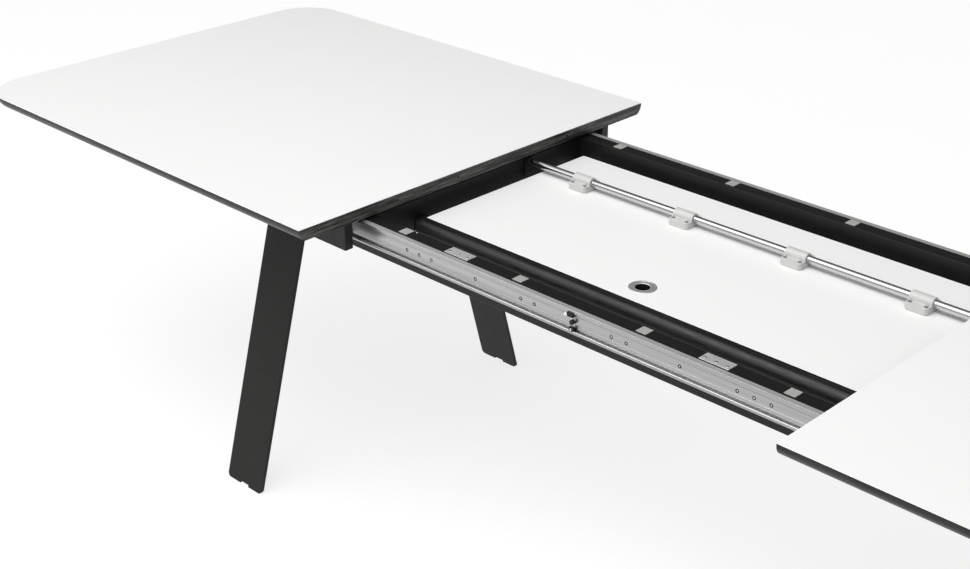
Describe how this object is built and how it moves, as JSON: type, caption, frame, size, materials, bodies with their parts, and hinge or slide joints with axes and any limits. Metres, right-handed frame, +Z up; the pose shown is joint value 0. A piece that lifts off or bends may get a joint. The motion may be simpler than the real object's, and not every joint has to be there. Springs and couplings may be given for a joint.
{
  "type": "extendable dining table",
  "caption": "Rectangular dining table whose top halves slide apart over a folded butterfly leaf, on splayed flat plate legs.",
  "frame": {"origin": "on the floor under the middle of the table", "axes": "+X along the table to its right end, +Y across it to the far side, +Z up; modelled pulled open with the leaf stowed"},
  "size_m": [3.395, 1, 0.76],
  "materials": {
    "white_laminate": "satin",
    "black_oak": "satin stained open grain",
    "black_lacquer": "satin lacquer",
    "leg_steel": "matt powder coat",
    "slide_aluminium": "anodised",
    "runner_aluminium": "anodised",
    "chrome_rod": "polished",
    "clip_plastic": "satin moulded",
    "black_plastic": "moulded",
    "felt": "felt",
    "plate_steel": "zinc plated",
    "pull_steel": "turned and brushed"
  },
  "bodies": {
    "frame": {"side_rail_near": "black_lacquer", "side_rail_far": "black_lacquer", "well_rail_left": "black_lacquer", "well_rail_right": "black_lacquer", "end_rail_left": "black_lacquer", "end_rail_right": "black_lacquer", "slide_channel_near": "slide_aluminium", "slide_channel_far": "slide_aluminium", "slide_stop_near": "black_plastic", "slide_stop_far": "black_plastic", "leg_bridge_left": "leg_steel", "leg_bridge_right": "leg_steel", "leg_left_near": "leg_steel", "leg_left_far": "leg_steel", "leg_right_near": "leg_steel", "leg_right_far": "leg_steel", "felt_pad_near_1": "felt", "felt_pad_near_2": "felt", "felt_pad_near_3": "felt", "felt_pad_near_4": "felt", "felt_pad_far_1": "felt", "felt_pad_far_2": "felt", "felt_pad_far_3": "felt", "felt_pad_far_4": "felt", "catch_plate_1": "plate_steel", "catch_plate_2": "plate_steel", "leaf_rod": "chrome_rod", "rod_bracket_left": "black_plastic", "rod_bracket_right": "black_plastic", "leaf_rest_left": "leg_steel", "leaf_rest_right": "leg_steel"},
    "leaf_far_half": {"leaf_far_board": "black_oak", "leaf_back_sheet": "white_laminate", "rod_clip_1": "clip_plastic", "rod_clip_2": "clip_plastic", "rod_clip_3": "clip_plastic", "rod_clip_4": "clip_plastic", "finger_pull_ring": "pull_steel", "finger_pull_cup": "black_plastic", "leaf_pin_left": "plate_steel", "leaf_pin_right": "plate_steel", "leaf_hinge_far_1": "plate_steel", "leaf_hinge_far_2": "plate_steel"},
    "leaf_near_half": {"leaf_near_board": "black_oak", "leaf_hinge_near_1": "plate_steel", "leaf_hinge_near_2": "plate_steel"},
    "left_top": {"left_top_board": "black_oak", "left_top_sheet": "white_laminate", "left_apron_near": "black_lacquer", "left_apron_far": "black_lacquer", "left_runner_near": "runner_aluminium", "left_runner_far": "runner_aluminium"},
    "right_top": {"right_top_board": "black_oak", "right_top_sheet": "white_laminate", "right_apron_near": "black_lacquer", "right_apron_far": "black_lacquer", "right_runner_near": "runner_aluminium", "right_runner_far": "runner_aluminium"},
    "lock_near": {"lock_hook_near": "plate_steel"},
    "lock_far": {"lock_hook_far": "plate_steel"}
  },
  "joints": [
    {"name": "left_top_slide", "type": "slide", "parent": "frame", "child": "left_top", "axis": [-1, 0, 0], "range_m": [-0.5372, 0]},
    {"name": "right_top_slide", "type": "slide", "parent": "frame", "child": "right_top", "axis": [1, 0, 0], "range_m": [-0.5372, 0]},
    {"name": "leaf_turn", "type": "hinge", "parent": "frame", "child": "leaf_far_half", "pos_m": [0, 0.136, 0.719], "axis": [-1, 0, 0], "range_deg": [0, 180]},
    {"name": "leaf_unfold", "type": "hinge", "parent": "leaf_far_half", "child": "leaf_near_half", "pos_m": [0, 0.272, 0.6775], "axis": [1, 0, 0], "range_deg": [0, 90]},
    {"name": "lock_near_turn", "type": "hinge", "parent": "left_top", "child": "lock_near", "pos_m": [-0.574, -0.455, 0.729], "axis": [0, 0, -1], "range_deg": [0, 90]},
    {"name": "lock_far_turn", "type": "hinge", "parent": "left_top", "child": "lock_far", "pos_m": [-0.574, 0.455, 0.729], "axis": [0, 0, 1], "range_deg": [0, 90]}
  ]
}
